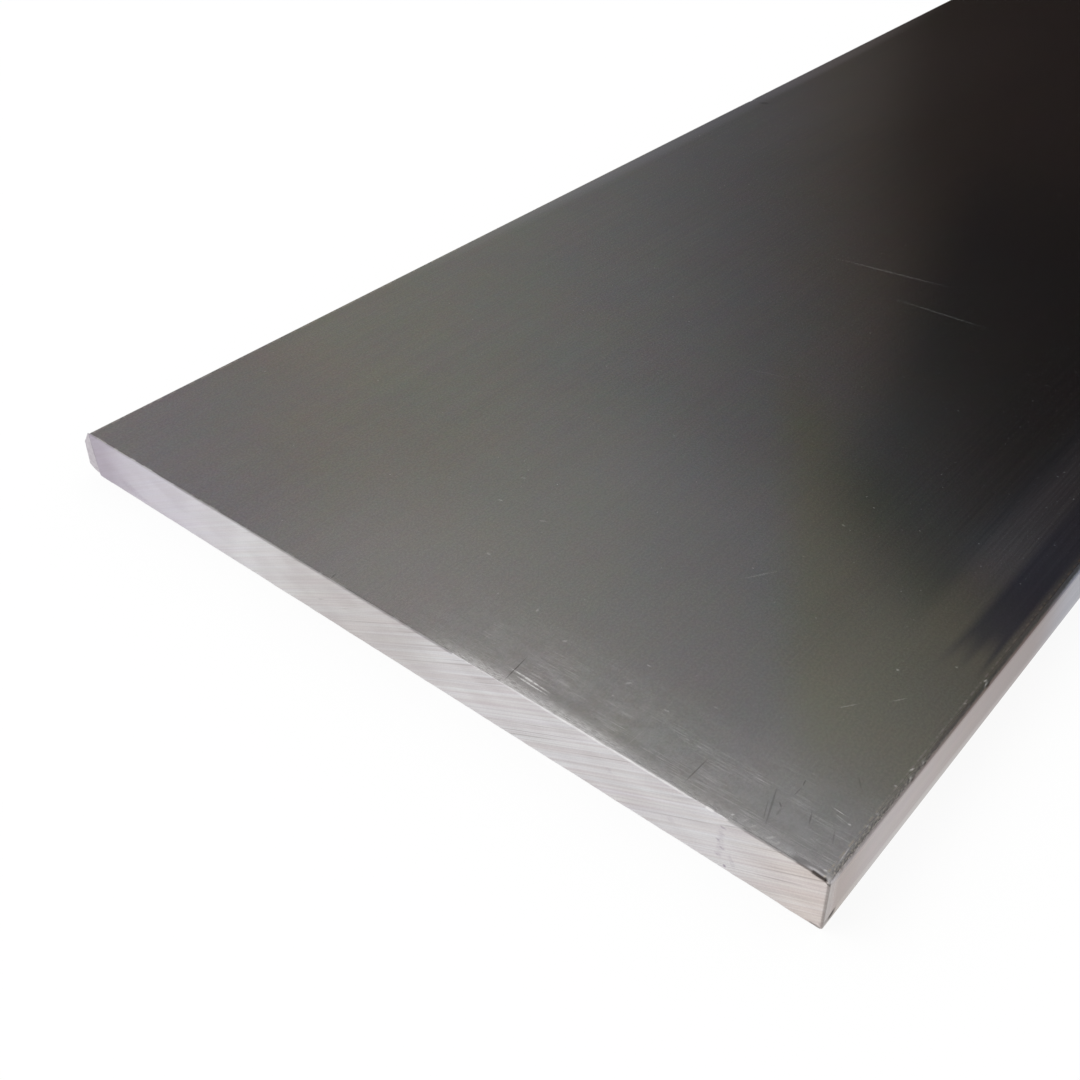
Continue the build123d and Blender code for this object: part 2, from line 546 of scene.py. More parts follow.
def strokes(node, place, lines, within):
    """The strongest of several strokes at each place, shown within a pattern. A stroke is a long ellipse:
    measured from its middle, along it over half its length and across it over its reach, it is full within
    0.3 and fades smoothly to nothing at 1. A line is from, to, reach and strength. A round gradient gives 1
    less that distance."""
    total = None
    for x, y, to_x, to_y, reach, strength in lines:
        middle = ((x + to_x) / 2, (y + to_y) / 2, 0)
        turn = float(np.arctan2(to_y - y, to_x - x))
        half = float(np.hypot(to_x - x, to_y - y)) / 2 + reach / 2
        laid = node("Mapping", {0: place, 1: middle, 2: (0, 0, turn), 3: (half, reach, 1)},
                    vector_type="TEXTURE")
        closeness = node("TexGradient", [laid], gradient_type="SPHERICAL").outputs["Fac"]
        stroke = node("MapRange", [closeness, 0.0, 0.7, 0.0, strength], **SMOOTH)
        total = stroke if total is None else node("Math", [total, stroke], operation="MAXIMUM")
    return node("Math", [total, within], operation="MULTIPLY")


def coats(node, base, *layers):
    """The base colour with coats laid over it in turn. A coat is its mask, its colour and how it lies: MIX
    covers what is under it and MULTIPLY tints it."""
    for mask, tone, way in layers:
        base = node("Mix", {0: mask, 6: base, 7: tone}, data_type="RGBA", blend_type=way).outputs[2]
    return base


# Tints and tones that the patterns lay over the metal's colour
GRAIN_TONE = linear("#F3F3F3")
FILM_TONE = linear("#D5DFE6")
YELLOW_TONE = linear("#FFFFE9")
BLOOM_TONE = linear("#CBE1FF")
LINE_TONE = linear("#FAFAFB")
STREAK_TONE = linear("#B9BBC2")
# Painted shade on the narrow sides further from the end, and warmer near it; a painted light band along
# their foot; painted shade under the upper arris
SIDE_PAINTED_SHADE = linear("#C3B7B7")
END_PAINTED_WARM_SHADE = linear("#EADFD1")
FOOT_PAINTED_LIGHT = linear("#D2CBC6")
UNDER_ARRIS_PAINTED_SHADE = linear("#867A6E")
# Pale tone of the painted highlight line on the upper arrises, and of the worn flecks below it
ARRIS_HIGHLIGHT_AND_WEAR = linear("#DAD3CA")
# Painted shade towards the left corner of the sawn end
LEFT_END_PAINTED_SHADE = linear("#DDD7DD")
DULL_PATCH = linear("#F2F0EE")
CLOUD_TONE = linear("#F8F7F7")
# Saw marks painted darker, as shade in their grooves
CLOSE_MARK_SHADE = linear("#F4F1F2")
WIDE_MARK_SHADE = linear("#FAF8F7")
# Painted shade in the folds of the leaf of burr
FOLD_SHADE = linear("#EFEDEF")

# The oxide keeps down what the skin mirrors at a low angle
EDGE_TINT = (0.75, 0.75, 0.75)
# Metal's roughness, clean, hazed, sawn or rubbed on an arris, and torn or grimy
CLEAN_ROUGH, HAZED_ROUGH, RUBBED_ROUGH, TORN_ROUGH = 0.19, 0.27, 0.42, 0.5

# Marks on the top face: from and to in mm (x, then how far from the front), half their width and strength
LIGHT_MARKS = (
    (22.4, 3.1, 32.3, 2.7, 0.24, 1.3), (24.0, 2.4, 32.3, 2.2, 0.18, 1.2), (39.6, 1.3, 42.4, 1.3, 0.16, 0.6),
    (40.0, 0.6, 44.6, 1.4, 0.14, 0.4), (46.3, 2.8, 48.9, 2.9, 0.12, 0.5),
    (49.3, 2.4, 49.1, 3.9, 0.12, 0.35), (45.0, 1.7, 45.2, 5.9, 0.12, 0.3),
    (50.1, 7.6, 50.9, 7.7, 0.14, 0.5), (51.8, 7.6, 53.2, 7.5, 0.14, 0.5),
    (49.4, 14.7, 50.8, 14.7, 0.12, 0.35), (44.8, 10.1, 46.0, 10.1, 0.16, 0.6),
    (38.0, 15.5, 39.0, 15.5, 0.16, 0.5), (37.9, 10.5, 38.7, 11.5, 0.3, 0.4),
    (52.5, 2.6, 53.1, 2.5, 0.16, 0.4), (60.0, 7.8, 63.5, 8.0, 0.13, 0.6), (60.2, 8.3, 62.0, 8.5, 0.11, 0.4),
    (70.2, 9.8, 73.5, 9.6, 0.11, 0.7), (70.8, 9.2, 73.8, 8.7, 0.12, 0.5), (71.2, 8.9, 73.6, 8.4, 0.1, 0.4),
    (73.4, 8.7, 73.9, 8.8, 0.22, 0.7), (70.8, 4.0, 72.0, 3.9, 0.12, 0.5), (71.0, 4.3, 72.1, 4.3, 0.1, 0.45),
    (65.6, 12.9, 66.9, 12.9, 0.1, 0.35), (-8.3, 142.2, 21.7, 144.9, 0.45, 0.2),
    (11.6, 133.2, 34.8, 133.1, 0.4, 0.2), (2.0, 143.2, 17.0, 144.5, 0.3, 0.12),
    (3.8, 91.2, 14.7, 93.7, 0.22, 0.1), (37.6, 38.6, 41.7, 44.7, 0.2, 0.2),
    (62.4, 24.4, 64.8, 27.7, 0.13, 0.35), (67.4, 30.1, 69.2, 32.5, 0.13, 0.35),
    (25.8, 11.7, 26.4, 12.2, 0.3, 0.4), (-5.6, 38.1, -4.5, 38.6, 0.18, 0.35),
    (-4.4, 31.1, -3.3, 31.5, 0.18, 0.45), (4.7, 31.1, 6.0, 31.7, 0.18, 0.4),
    (3.5, 19.9, 4.8, 19.6, 0.3, 0.3), (18.8, 14.0, 18.7, 15.0, 0.25, 0.4),
    (65.2, 36.3, 65.6, 36.3, 0.26, 0.5), (71.2, 41.8, 71.6, 41.8, 0.2, 0.4),
    (42.9, 60.2, 43.6, 60.1, 0.25, 0.3), (63.3, 0.8, 63.9, 1.9, 0.2, 0.6),
    (64.4, 0.3, 65.2, 1.9, 0.2, 0.55), (66.8, 0.4, 67.9, 1.7, 0.24, 0.65),
    (68.2, 0.3, 68.7, 1.4, 0.22, 0.6), (70.4, 0.5, 72.2, 0.6, 0.4, 0.4), (61.8, 1.0, 62.1, 1.2, 0.24, 0.9),
    (74.6, 1.0, 75.2, 1.1, 0.3, 0.9), (75.3, 6.5, 75.6, 2.2, 0.16, 0.7), (75.3, 9.6, 75.6, 10.2, 0.2, 0.8),
    (75.3, 12.2, 75.7, 12.4, 0.2, 0.7), (74.9, 17.6, 75.2, 17.7, 0.18, 0.7),
    (75.2, 20.8, 75.5, 21.8, 0.2, 0.8), (75.2, 36.0, 75.5, 36.3, 0.18, 0.6),
    (75.4, 41.5, 75.7, 42.2, 0.2, 0.8),
)
DARK_MARKS = (
    (24.0, 6.8, 24.7, 0.2, 0.12, 0.6), (54.5, 7.2, 54.4, 1.2, 0.14, 0.36),
    (63.5, 9.1, 66.2, 1.4, 0.2, 0.27), (63.9, 6.2, 65.4, 2.4, 0.1, 0.24),
    (65.9, 11.6, 66.2, 10.3, 0.13, 0.32), (66.2, 10.3, 66.1, 8.1, 0.12, 0.24),
    (69.0, 8.0, 70.1, 5.2, 0.14, 0.27), (72.6, 7.3, 73.6, 4.8, 0.14, 0.18),
    (65.2, 6.5, 66.0, 5.7, 0.16, 0.32), (66.0, 5.7, 66.1, 4.2, 0.22, 0.2),
    (70.7, 16.2, 72.1, 14.4, 0.12, 0.2), (-10.9, 1.6, -10.7, 0.2, 0.16, 0.4),
    (-72.6, 215.4, -70.4, 216.4, 1.3, 0.3),
)
# Pale patches, the same way: the first two are a painted highlight along the left upper edge, the last a
# broad pale patch of the film
LEFT_EDGE_HIGHLIGHT_AND_PALE_PATCH = ((-75, 180, -75, 340, 5, 0.8), (-76, 50, -76, 330, 6, 0.42), (-56, 180, -44, 330, 30, 0.12))
# Marks on the front cut, the same way but with the height above the foot
SMUDGE_MARKS = (
    (60.9, 7.7, 61.9, 7.6, 0.3, 0.5), (60.8, 6.5, 61.8, 6.4, 0.3, 0.5), (60.5, 5.0, 61.5, 4.8, 0.35, 0.55),
    (61.0, 3.8, 62.0, 3.7, 0.35, 0.5), (60.5, 2.3, 61.5, 2.1, 0.4, 0.55), (61.2, 8.2, 61.2, 1.2, 0.75, 0.2),
    (62.6, 3.4, 63.6, 1.0, 0.5, 0.25), (43.0, 5.4, 44.0, 5.1, 0.6, 0.2), (53.2, 3.2, 54.2, 3.0, 0.6, 0.2),
    (61.95, 0.7, 62.3, 0.7, 0.34, 0.9), (-69.5, 2.4, -62.0, 1.0, 1.3, 0.28),
    (-66.0, 1.2, -60.0, 0.8, 0.7, 0.25),
)


def oxide_skin(node, look, at):
    """The mill's own skin: its tint drifts in patches of 0.7 to 15 mm, and its grain is about 0.35 mm. Also
    gives the middle one of the drifts, and the grain."""
    tint = drift(node, at.wrapping, 2.6, 3.2, 0.07)
    grain = patches(node, at.wrapping, 0.34, 0.42, 0.3, 0.7)
    base = coats(node, look.mill, (1.0, drift(node, at.wrapping, 11, 15, 0.08), "MULTIPLY"),
                 (1.0, tint, "MULTIPLY"), (1.0, drift(node, at.wrapping, 0.7, 0.9, 0.09), "MULTIPLY"),
                 (grain, GRAIN_TONE, "MULTIPLY"))
    return base, tint, grain


def narrow_sides(node, look, at, base, tint):
    """The narrow sides: warmer, with a painted light band along the foot, painted shade further from the
    end, a warm painted shade close to it, painted shade under the upper arris, and faint lengthwise bands.
    The die's lines hardly show on the wide faces."""
    side = node("MapRange", [at.from_middle, RIGHT - 0.25, RIGHT - 0.02, 0, 1], **SMOOTH)
    # Painted light along the foot, painted shade away from the end and, warmer, near it
    base = coats(node, base, (side, look.side, "MIX"), (side, tint, "MULTIPLY"),
                 (narrowed(node, side, (at.z, 2.4, 0.8)), FOOT_PAINTED_LIGHT, "MIX"),
                 (narrowed(node, side, (at.from_end, 16, 66)), SIDE_PAINTED_SHADE, "MULTIPLY"),
                 (narrowed(node, side, (at.from_end, 13, 2)), END_PAINTED_WARM_SHADE, "MULTIPLY"))
    # Painted shade under the upper arris, full near the end
    deep = node("MapRange", [at.from_end, 40, 8, 0.66, 1.0], **SMOOTH)
    under = narrowed(node, deep, (at.from_middle, RIGHT - 0.34, RIGHT - 0.2),
                     (at.z, THICKNESS - 1.5, THICKNESS - 0.35))
    lines = node("MapRange", [side, 0, 1, patches(node, at.wrapping, 0.5, 70, 0.3, 0.7, detail=1),
                              patches(node, at.wrapping, 0.55, 60, 0.3, 0.7, detail=1, shift=103)])
    return coats(node, base, (under, UNDER_ARRIS_PAINTED_SHADE, "MULTIPLY"), (lines, LINE_TONE, "MULTIPLY"))


def handled_haze(node, look, at, base):
    """A soft pale haze near the ends, mostly where the right hand holds, and thinner further in. Also gives
    its veil by itself."""
    handled = node("MapRange", [at.x, -46, 2, 0.08, 1], **SMOOTH)
    veil = narrowed(node, handled, (at.from_end, 40, 6))
    thin = node("MapRange", [at.inner, 0, 1, 0, 0.15])
    thin = narrowed(node, thin, (at.x, -36, 14), (at.from_end, 78, 46))
    return coats(node, base, (node("MapRange", [veil, 0, 1, thin, 0.25]), look.haze, "MIX")), veil


def oxide_film(node, look, at, base):
    """The films on the top face. A thin blue one lies on the right half behind a slanting line, further to
    the left the further back. In front of it the face is yellowish, and pale near the right edge. Close to
    that edge a dark strip was dragged along the bar from about 50 mm behind the front on, with a pale blue
    bloom left of it. Also gives where streaks were dragged."""
    blanched = node("MapRange", [at.inner, 0, 1, 0, 0.15])
    blanched = narrowed(node, blanched, (at.x, 52, 62), (at.from_front, 60, 44))
    bloom = narrowed(node, 0.3, (at.x, 57, 65), (at.from_front, 57, 74))
    base = coats(node, base, (blanched, look.haze, "MIX"), (bloom, BLOOM_TONE, "MIX"))
    slant = node("Math", [at.x, 0.68, at.from_front], operation="MULTIPLY_ADD")
    spread = node("Math", [at.from_front, 0.3, at.x], operation="MULTIPLY_ADD")
    film = narrowed(node, 1, (at.from_front, 250, 165), (spread, 48, 66), (at.x, 65, 61), (slant, 80, 104))
    yellow = narrowed(node, at.inner, (at.from_front, 3, 26), (slant, 112, 94))
    steeper = node("Math", [at.x, 1.6, at.from_front], operation="MULTIPLY_ADD")
    yellow = narrowed(node, yellow, (steeper, 104, 122))
    base = coats(node, base, (film, FILM_TONE, "MULTIPLY"), (yellow, YELLOW_TONE, "MULTIPLY"))
    ragged = patches(node, at.wrapping, 3, 40, 0.3, 0.7, full=6, shift=9)
    start = node("Math", [at.from_front, ragged], operation="SUBTRACT")
    strip = node("MapRange", [at.from_front, 58, 84, 1.0, 0.6], **SMOOTH)
    strip = narrowed(node, strip, (start, 38, 47), (at.x, 68.2, 70.2), (at.x, 75.0, 74.2))
    dragged = narrowed(node, 0.26, (at.from_front, 50, 78), (at.x, 34, 60))
    streaks = patches(node, at.wrapping, 0.42, 30, 0.34, 0.66, full=dragged, detail=1, shift=17)
    base = coats(node, base, (strip, look.stain, "MULTIPLY"), (streaks, STREAK_TONE, "MULTIPLY"))
    # Painted highlight along the left upper edge, and one broad pale patch
    pale = strokes(node, node("CombineXYZ", [at.x, at.from_front]), LEFT_EDGE_HIGHLIGHT_AND_PALE_PATCH, at.upper)
    return coats(node, base, (pale, look.haze, "MIX")), dragged


def end_scuffs(node, look, at, base, veil):
    """Scuffs near the ends: the front edge rubbed to a soft light line, clouds of haze, and sparse
    hair-fine scratches mostly along the cut. Also gives the roughness, and where light is scattered."""
    rubbed = node("MapRange", [at.x, 40, 50, 0.8, 0.45], **SMOOTH)
    rubbed = narrowed(node, rubbed, (at.x, 6, 21), (at.from_end, 2.9, 0.3))
    some = node("MapRange", [rubbed, 0, 1, 0, 0.4])
    rubbed = patches(node, at.wrapping, 1.1, 0.09, 0.32, 0.64, full=rubbed, none=some, detail=1, turn=0.03,
                     shift=13)
    near = narrowed(node, 1, (at.x, -4, 30), (at.from_end, 18, 2))
    near = node("Math", [near, at.upper], operation="MULTIPLY")
    cloud = patches(node, at.wrapping, 3.4, 2.0, 0.36, 0.66, full=near, detail=5, shift=5)
    rough = node("MapRange", [strongest(node, cloud, veil), 0, 1, CLEAN_ROUGH, HAZED_ROUGH])
    base = coats(node, base, (rubbed, look.burr, "MIX"),
                 (node("MapRange", [cloud, 0, 1, 0, 0.22]), look.haze, "MIX"))
    hairs = patches(node, at.wrapping, 3.6, 0.10, 0.54, 0.70, full=near, turn=0.02, shift=3)
    hairs = node("MapRange", [hairs, 0, 1, 0, 0.34])
    hairs = patches(node, at.wrapping, 9, 2.4, 0.42, 0.60, full=hairs, shift=33)
    crossing = node("MapRange", [near, 0, 1, 0, 0.07])
    crossing = patches(node, at.wrapping, 0.10, 2.6, 0.64, 0.76, full=crossing, shift=23)
    base = coats(node, base, (hairs, look.burr, "MIX"), (crossing, look.burr, "MIX"))
    # Torn and scratched metal scatters light almost like a matt body
    scatter = node("MapRange", [near, 0, 1, 0, 0.16])
    return base, rough, strongest(node, scatter, rubbed, hairs, crossing)


def specks_and_scratches(node, look, at, base, dragged):
    """Sparse light specks, more of them on the dragged film, and the light scratches listed one by one, a
    little broken. Also gives the two masks."""
    cells = node("TexVoronoi", {"Vector": at.wrapping, "Scale": 1 / 2.2}, voronoi_dimensions="2D")
    pick, size, strength = node("SeparateColor", [cells.outputs["Color"]]).outputs
    many = node("MapRange", [dragged, 0.0, 0.26, 0.94, 0.62])
    kept = node("Math", [pick, many], operation="GREATER_THAN")
    radius = node("MapRange", [size, 0, 1, 0.01, 0.055])
    strength = node("Math", [node("MapRange", [strength, 0, 1, 0.05, 0.45]), kept], operation="MULTIPLY")
    inside = node("Math", [radius, cells.outputs["Distance"]], operation="SUBTRACT")
    specks = narrowed(node, strength, (inside, -0.02, 0.015))
    unbroken = patches(node, at.wrapping, 0.7, 0.7, 0.34, 0.5, full=at.upper, none=0.6, shift=63)
    unbroken = node("Math", [unbroken, 0.75], operation="MULTIPLY")
    light = strokes(node, node("CombineXYZ", [at.x, at.from_front]), LIGHT_MARKS, unbroken)
    return coats(node, base, (specks, look.burr, "MIX"), (light, look.burr, "MIX")), specks, light


def worn_arrises(node, look, at, base):
    """The upper arrises: a broken painted highlight line where the top turns down, grey with flecks below
    it, and torn at the cut. Also gives where the arris, its flecks and the torn metal are."""
    # Painted highlight: a broken light line where the top turns down
    to_line = node("Math", [at.from_middle, RIGHT - 0.95], operation="SUBTRACT")
    line = narrowed(node, at.upper, (node("Math", [to_line], operation="ABSOLUTE"), 0.22, 0.05))
    line = patches(node, at.wrapping, 9, 1.1, 0.40, 0.62, full=line, detail=2, shift=83)
    arris = narrowed(node, at.upper, (at.from_middle, RIGHT - 0.8, RIGHT - 0.5))
    worn = node("MapRange", [at.from_end, 40, 10, 0.1, 0.8], **SMOOTH)
    worn = patches(node, at.wrapping, 0.22, 0.4, 0.46, 0.62, full=worn, none=0.03, detail=2, shift=93)
    worn = node("Math", [arris, worn], operation="MULTIPLY")
    worn = narrowed(node, worn, (at.z, THICKNESS - 0.55, THICKNESS - 0.2))
    torn = node("Attribute", attribute_name="torn").outputs["Fac"]
    base = coats(node, base, (line, ARRIS_HIGHLIGHT_AND_WEAR, "MIX"), (worn, ARRIS_HIGHLIGHT_AND_WEAR, "MIX"), (torn, look.burr, "MIX"))
    return base, arris, worn, torn


def mill_finish(look):
    """Mill-finish extruded aluminium: a satin grey skin that mirrors softly, with a thin oxide film that
    varies in tint, dark film dragged lengthwise near the right edge, storage specks and scratches, and a
    scuffed, paler band near the sawn ends, where it was clamped and handled. Each pattern is laid on as
    soon as it is made, so that the renderer has few of them to keep at a time."""
    material, node = new_material("mill_finish_aluminium")
    x, y, z, wrapping = places(node)
    # Where a point is on the bar, for the functions that lay the coats
    at = SimpleNamespace(x=x, z=z, wrapping=wrapping)
    at.from_middle = node("Math", [x], operation="ABSOLUTE")
    at.from_front = node("Math", [y, FRONT], operation="SUBTRACT")
    at.from_end = node("Math", [LENGTH / 2, node("Math", [y], operation="ABSOLUTE")], operation="SUBTRACT")
    at.upper = node("MapRange", [z, THICKNESS - 1.2, THICKNESS - 0.6, 0, 1], **SMOOTH)

    base, tint, grain = oxide_skin(node, look, at)
    bump = node("Bump", {"Strength": 0.012, "Distance": 0.05 * MM, "Height": grain})
    base = narrow_sides(node, look, at, base, tint)
    # 1 on the face, left of the right arris
    at.inner = node("MapRange", [x, RIGHT - 0.2, RIGHT - 0.8, 0, 1], **SMOOTH)
    base, veil = handled_haze(node, look, at, base)
    base, dragged = oxide_film(node, look, at, base)
    base, rough, scatter = end_scuffs(node, look, at, base, veil)
    base, specks, light = specks_and_scratches(node, look, at, base, dragged)
    base, arris, worn, torn = worn_arrises(node, look, at, base)
    scatter = strongest(node, scatter, specks, light, torn, worn)

    dark = strokes(node, node("CombineXYZ", [x, at.from_front]), DARK_MARKS, at.upper)
    # Dirt, and painted shade along the front cut's edges and corners, from the points
    grime = node("Attribute", attribute_name="grime").outputs["Fac"]
    base = coats(node, base, (dark, look.grime, "MIX"), (grime, look.grime, "MIX"))
    rough = node("MapRange", [arris, 0, 1, rough, RUBBED_ROUGH])
    rough = node("MapRange", [strongest(node, torn, grime), 0, 1, rough, TORN_ROUGH])
    metal = node("MapRange", [scatter, 0, 1, 1.0, 0.5])
    shader = node("BsdfPrincipled", {"Base Color": base, "Metallic": metal, "Roughness": rough,
                                     "Specular Tint": EDGE_TINT, "Normal": bump})
    node("OutputMaterial", [shader])
    return material


def sawn_finish(look, shape):
    """Band-sawn aluminium: bright, slightly lilac raw metal, scattering light across close parallel saw
    marks that hardly show in places and are painted darker as shade in their grooves, with fine darker
    hairs between them, painted shade towards the left corner, and smudges from handling."""
    material, node = new_material("sawn_aluminium")
    x, y, z, _ = places(node)
    cut = node("CombineXYZ", [x, z])
    turn = shape.mark_angle
    front = node("Math", [y, 0.0], operation="LESS_THAN")
    torn = node("Attribute", attribute_name="torn").outputs["Fac"]
    # Dirt, and painted shade along the front cut's edges and corners, from the points
    grime = node("Attribute", attribute_name="grime").outputs["Fac"]

    # Marks lie 0.3 and 0.7 mm apart, and are fainter towards the left, where the blade left the bar. Their
    # darker tone is painted shade in the grooves
    clear = node("MapRange", [x, -64, 20, 0.3, 1.0], **SMOOTH)
    close = patches(node, cut, 50, 0.3, 0.34, 0.66, full=clear, turn=turn, detail=1)
    wide = patches(node, cut, 44, 0.7, 0.36, 0.60, full=clear, turn=turn, shift=7)
    # A hair runs wherever a slow noise crosses its middle
    laid = node("Mapping", {0: cut, 1: (17, 17, 0), 2: (0, 0, turn), 3: (90, 0.7, 1)},
                vector_type="TEXTURE")
    noise = node("TexNoise", {"Vector": laid, "Scale": 1.0, "Detail": 1.0}, noise_dimensions="2D")
    middle = node("Math", [node("Math", [noise, 0.5], operation="SUBTRACT")], operation="ABSOLUTE")
    hair = narrowed(node, clear, (middle, 0.02, 0.0))
    hair = patches(node, cut, 22, 1.4, 0.36, 0.58, full=hair, turn=turn, shift=27)

    tint = drift(node, cut, 14, 1.0, 0.03, turn=turn)
    clouds = patches(node, cut, 9, 4, 0.3, 0.7, detail=1, shift=37)
    grain = patches(node, cut, 0.3, 0.3, 0.3, 0.7, shift=47)
    # Painted shade towards the left corner of the cut
    left = node("MapRange", [x, -62, -75, 0, 1], **SMOOTH)
    dull = strokes(node, cut, ((-22, 4.7, 6, 4.7, 24, 1.0),), 1.0)
    smudged = patches(node, cut, 0.5, 0.3, 0.35, 0.6, full=front, none=0.3, detail=1, shift=57)
    smudged = strokes(node, cut, SMUDGE_MARKS, smudged)
    base = coats(node, look.sawn,
                 (node("MapRange", [x, -62, -25, 0, 1], **SMOOTH), look.sawn_dull, "MIX"),
                 (node("MapRange", [x, 60, 76, 0, 1], **SMOOTH), look.sawn_warm, "MIX"),
                 (1.0, tint, "MULTIPLY"), (left, LEFT_END_PAINTED_SHADE, "MULTIPLY"), (dull, DULL_PATCH, "MULTIPLY"),
                 (clouds, CLOUD_TONE, "MULTIPLY"), (grain, LINE_TONE, "MULTIPLY"),
                 (close, CLOSE_MARK_SHADE, "MULTIPLY"), (wide, WIDE_MARK_SHADE, "MULTIPLY"),
                 (node("MapRange", [hair, 0, 1, 0, 0.45]), look.groove, "MIX"),
                 (smudged, look.smudge, "MIX"), (torn, look.burr, "MIX"), (grime, look.grime, "MIX"))
    height = node("Math", [close, hair], operation="SUBTRACT")
    bump = node("Bump", {"Strength": 0.045, "Distance": 0.1 * MM, "Height": height})
    node("OutputMaterial", [node("BsdfPrincipled", {"Base Color": base, "Metallic": 1.0,
                                                    "Roughness": RUBBED_ROUGH, "Normal": bump})])
    return material


def burr_finish(look):
    """Torn aluminium: a ragged leaf smeared off the cut, matt, a little darker than it, with painted shade
    in its folds."""
    material, node = new_material("torn_aluminium")
    x, _, z, _ = places(node)
    folds = patches(node, node("CombineXYZ", [x, z]), 1.6, 0.9, 0.3, 0.7, detail=1)
    # Painted shade in the folds
    base = coats(node, look.leaf, (folds, FOLD_SHADE, "MULTIPLY"))
    bump = node("Bump", {"Strength": 0.01, "Distance": 0.1 * MM, "Height": folds})
    node("OutputMaterial", [node("BsdfPrincipled", {"Base Color": base, "Metallic": 1.0,
                                                    "Roughness": TORN_ROUGH, "Normal": bump})])
    return material


# ---------------------------------------------------------------- operators

class FLATBAR_OT_skin(bpy.types.Operator):
    """Build the bar's skin with its sawn ends, burrs and knocks"""

    bl_idname = "flat_bar.skin"
    bl_label = "Bar skin"

    def execute(self, context):
        shape, look = context.scene.flat_bar_shape, context.scene.flat_bar_finish
        points, quads, triangles, zone = bar_skin_arrays(shape)
        points, torn, grime = settle(points, shape)
        skin = closed_mesh("bar_skin", in_frame(points), quads.tolist() + triangles.tolist(), zone,
                           torn=torn, grime=grime)
        skin.data.materials.append(mill_finish(look))
        skin.data.materials.append(sawn_finish(look, shape))
        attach(skin, "root")
        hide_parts("flat_bar")
        return {"FINISHED"}


class FLATBAR_OT_exit_burr(bpy.types.Operator):
    """Build the leaf of burr on the left edge of the front cut"""

    bl_idname = "flat_bar.exit_burr"
    bl_label = "Exit burr"

    def execute(self, context):
        shape, look = context.scene.flat_bar_shape, context.scene.flat_bar_finish
        points, faces = exit_burr_arrays(shape)
        burr = closed_mesh("exit_burr", in_frame(points), faces)
        burr.data.materials.append(burr_finish(look))
        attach(burr, "root")
        return {"FINISHED"}


# The paper under the bar: its side in m, its distance below the bar in mm, and its own share of its tone
FLOOR_SIDE = 60.0
FLOOR_GAP = 0.2
FLOOR_GLOW = 0.88
# The tent's light on things, where what is seen or mirrored of it has 1
TENT_LIGHT = 0.88
# The lamp's place and side in m, and its power in watts
LAMP_PLACE, LAMP_SIDE, LAMP_POWER = (-1.6, -1.4, 2.4), 2.0, 22
# The camera's place in m, its turns about z, x and z again in degrees, its lens and sensor in mm
CAMERA_PLACE, CAMERA_TURNS = (0.11073, -0.39086, 0.13044), ((42.122, "Z"), (51.669, "X"), (-2.181, "Z"))
LENS, SENSOR = 41.243, 36.0

CARD_RADIUS = 14.0
# Where the dark cloth hangs, in degrees: azimuth counts from straight behind the bar towards the left. Its
# upper edge is level at the left and climbs to the right, up to its full height.
CLOTH_LEFT, CLOTH_RIGHT = 4.0, -60.0
CLOTH_HEIGHT, CLOTH_FULL_HEIGHT = 19.0, 26.0
CLIMB_START, CLIMB_END = 3.0, -6.0
# Brightness of the card by the angle from the cloth's edge plus its height there, in degrees
CARD_TONES = ((8, "#2B2623"), (16, "#342C2B"), (20.6, "#38312E"), (23.0, "#59534F"), (24.8, "#625D58"),
              (26.4, "#686567"), (28.4, "#6E6E71"), (32.4, "#808083"), (36.4, "#8E8E8F"), (42, "#9A9B97"),
              (50, "#A5A39B"), (54, "#A19D97"), (59, "#9C999E"), (68, "#A5A0A2"), (78, "#EDEDED"),
              (85, "#FFFFFF"))


def card_arrays():
    """A piece of a sphere round the bar: at azimuth a and height h a point stands at the radius times (-sin
    a cos h, cos a cos h, sin h)."""
    azimuth, height = np.meshgrid(np.radians(np.linspace(-150, 150, 101)),
                                  np.radians(np.linspace(0, 90, 41)), indexing="ij")
    points = np.stack([-np.sin(azimuth) * np.cos(height), np.cos(azimuth) * np.cos(height),
                       np.sin(height)], -1)
    grid = np.arange(azimuth.size).reshape(azimuth.shape)
    faces = np.stack([grid[:-1, :-1], grid[:-1, 1:], grid[1:, 1:], grid[1:, :-1]], -1).reshape(-1, 4)
    return points.reshape(-1, 3) * CARD_RADIUS, faces


def card_material():
    """Cloth and tent wall that only the metal sees: dark low behind the bar, paler up and to the left."""
    material, node = new_material("studio_card")
    aim = node("VectorMath", [node("TexCoord").outputs["Object"]], operation="NORMALIZE")
    aim_x, aim_y, aim_z = node("SeparateXYZ", [aim]).outputs
    left = node("Math", [aim_x, -1.0], operation="MULTIPLY")
    azimuth = node("Math", [node("Math", [left, aim_y], operation="ARCTAN2")], operation="DEGREES")
    height = node("Math", [node("Math", [aim_z], operation="ARCSINE")], operation="DEGREES")
    edge = node("MapRange", [azimuth, CLIMB_START, CLIMB_END, CLOTH_HEIGHT, CLOTH_FULL_HEIGHT], **SMOOTH)
    past_left = node("Math", [azimuth, CLOTH_LEFT], operation="SUBTRACT")
    past_right = node("Math", [CLOTH_RIGHT, azimuth], operation="SUBTRACT")
    aside = strongest(node, past_left, past_right, 0.0)
    above = strongest(node, node("Math", [height, edge], operation="SUBTRACT"), 0.0)
    angle = node("VectorMath", [node("CombineXYZ", [aside, above])], operation="LENGTH").outputs["Value"]
    ramp = node("ValToRGB", [node("Math", [angle, 90.0], operation="DIVIDE")])
    stops = ramp.color_ramp.elements
    for degrees, _ in CARD_TONES[1:-1]:
        stops.new(degrees / 90)
    for stop, (degrees, tone) in zip(stops, CARD_TONES):
        stop.position = degrees / 90
        stop.color = colour(linear(tone))
    node("OutputMaterial", [node("Emission", {"Color": ramp, "Strength": 1.0})])
    return material


def background_rays(node):
    """1 for camera, glossy and transmission rays, 0 for the light that falls on things."""
    rays = node("LightPath").outputs
    return strongest(node, *(rays[f"Is {kind} Ray"] for kind in ("Camera", "Glossy", "Transmission")))


